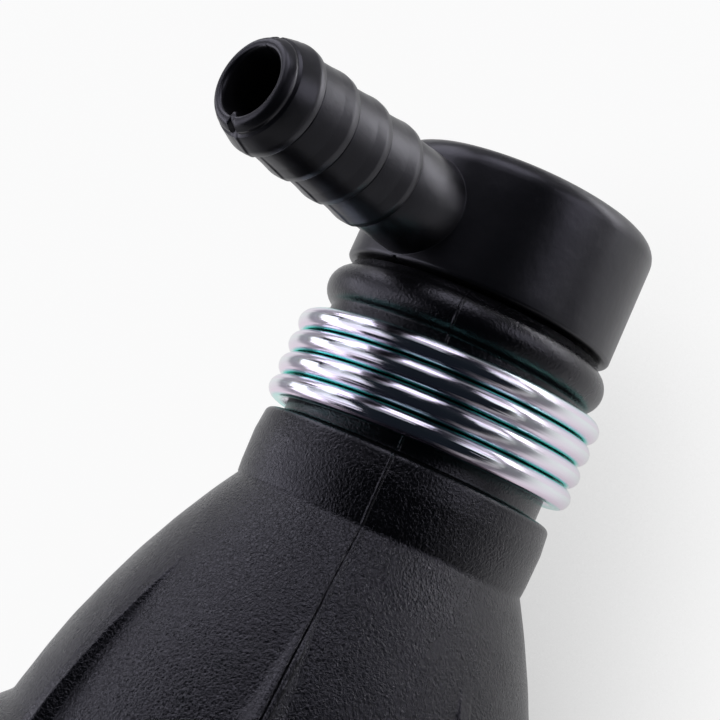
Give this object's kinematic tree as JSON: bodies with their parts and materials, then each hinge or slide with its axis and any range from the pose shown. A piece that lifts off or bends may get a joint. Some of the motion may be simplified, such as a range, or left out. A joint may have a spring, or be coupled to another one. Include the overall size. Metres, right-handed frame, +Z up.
{
  "type": "siphon bulb pump",
  "caption": "Hollow ribbed rubber hand bulb lying on its side, with a coil-clamped hose fitting and a check valve in each end; one fitting is a right-angle barb.",
  "frame": {"origin": "on the bench, under the middle of the part's bounding box", "axes": "+X along the bulb's axis in the direction of flow, from the inlet barb to the outlet elbow; +Z up from the flat of the grip band that the part lies on, towards the outlet's side barb"},
  "size_m": [0.1622, 0.0522, 0.06],
  "materials": {
    "black_rubber": "moulded, fine leather grain",
    "black_nylon": "moulded, satin",
    "zinc_plated_wire": "bright zinc plating with a clear blue passivation",
    "white_acetal": "moulded, satin",
    "seal_rubber": "smooth",
    "spring_steel": "drawn stainless wire"
  },
  "bodies": {
    "bulb_body": {"bulb": "black_rubber", "inlet_connector": "black_nylon", "inlet_valve_body": "white_acetal", "inlet_spring_retainer": "white_acetal", "inlet_valve_spring": "spring_steel", "outlet_clamp_coil": "zinc_plated_wire", "inlet_clamp_coil": "zinc_plated_wire"},
    "outlet_fitting": {"outlet_elbow": "black_nylon", "outlet_valve_body": "white_acetal", "outlet_spring_retainer": "white_acetal", "outlet_valve_spring": "spring_steel"},
    "near_wall": {"near_squeeze_wall": "black_rubber"},
    "far_wall": {"far_squeeze_wall": "black_rubber"},
    "outlet_valve": {"outlet_poppet": "white_acetal", "outlet_poppet_seal": "seal_rubber"},
    "inlet_valve": {"inlet_poppet": "white_acetal", "inlet_poppet_seal": "seal_rubber"}
  },
  "joints": [
    {"name": "near_squeeze", "type": "slide", "parent": "bulb_body", "child": "near_wall", "axis": [0, 0.9239, 0.3827], "range_m": [0, 0.008], "stiffness_N_per_m": 1500},
    {"name": "far_squeeze", "type": "slide", "parent": "bulb_body", "child": "far_wall", "axis": [0, -0.9239, -0.3827], "range_m": [0, 0.008], "stiffness_N_per_m": 1500},
    {"name": "outlet_swivel", "type": "hinge", "parent": "bulb_body", "child": "outlet_fitting", "pos_m": [0.07429, 0, 0.0256], "axis": [1, 0, 0], "range_deg": [-110, 110]},
    {"name": "outlet_valve_lift", "type": "slide", "parent": "outlet_fitting", "child": "outlet_valve", "axis": [1, 0, 0], "range_m": [0, 0.0025], "stiffness_N_per_m": 30, "springref_m": -0.002, "deforming": ["outlet_valve_spring"]},
    {"name": "inlet_valve_lift", "type": "slide", "parent": "bulb_body", "child": "inlet_valve", "axis": [1, 0, 0], "range_m": [0, 0.0025], "stiffness_N_per_m": 30, "springref_m": -0.002, "deforming": ["inlet_valve_spring"]}
  ],
  "couplings": [
    {"joint": "far_squeeze", "follows": "near_squeeze", "ratio": 1}
  ]
}
